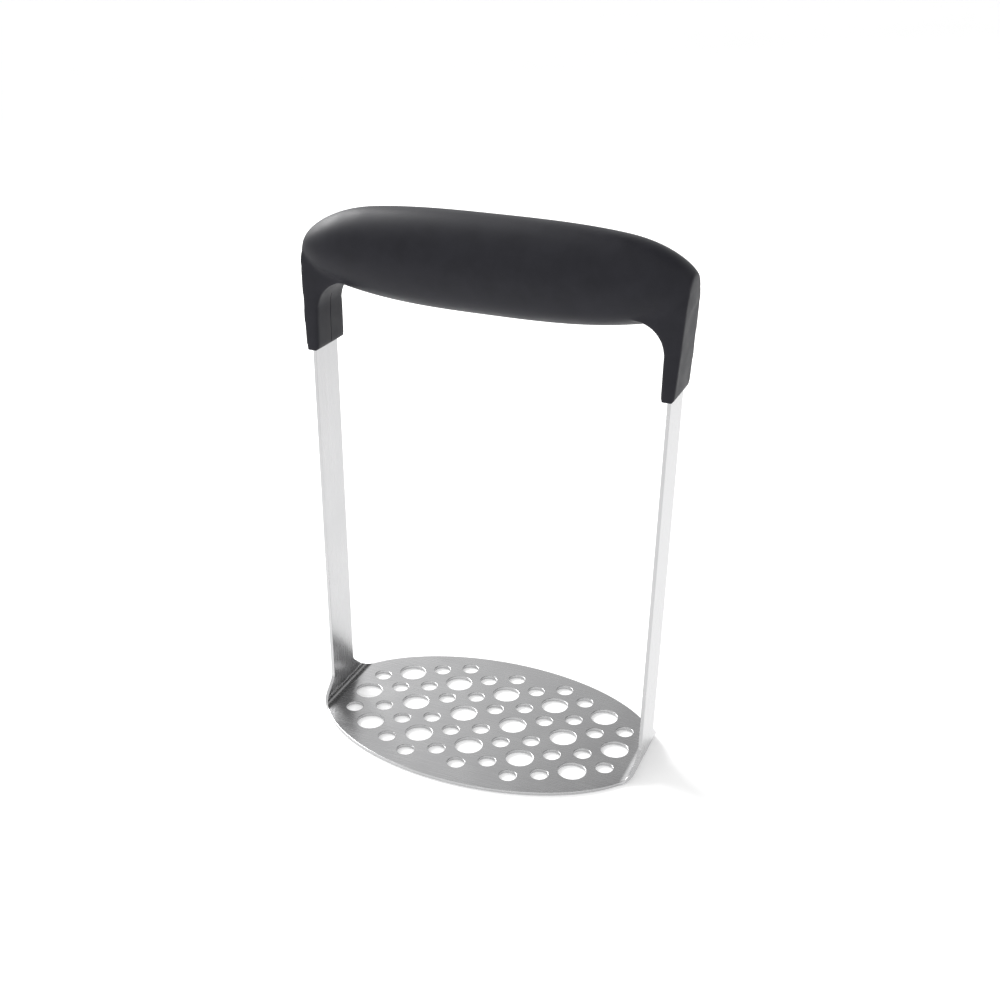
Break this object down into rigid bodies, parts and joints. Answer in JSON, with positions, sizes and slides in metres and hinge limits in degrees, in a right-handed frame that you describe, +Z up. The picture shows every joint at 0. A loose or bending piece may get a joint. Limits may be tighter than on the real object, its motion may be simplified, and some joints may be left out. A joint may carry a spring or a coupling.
{
  "type": "potato masher",
  "caption": "Potato masher: an oval perforated steel plate on two flat upright straps of the same sheet, joined at the top by a thick crosswise soft grip with a socket over each strap.",
  "frame": {"origin": "middle of the plate's underside, which the tool stands on", "axes": "+X from strap to strap along the grip, +Y across the plate, +Z up from the plate to the grip"},
  "size_m": [0.1274, 0.0776, 0.1817],
  "materials": {
    "brushed_steel": "satin stainless sheet, brushed along the straps, with polished edges",
    "core_plastic": "plain moulded plastic, hidden inside the grip",
    "rivet_steel": "plain steel, hidden inside the grip",
    "grip_rubber": "matt soft-touch black rubber with a fine even grain"
  },
  "bodies": {
    "root": {"masher_plate": "brushed_steel", "core_body": "core_plastic", "core_lid": "core_plastic", "strap_rivets": "rivet_steel", "soft_grip": "grip_rubber"}
  },
  "joints": []
}
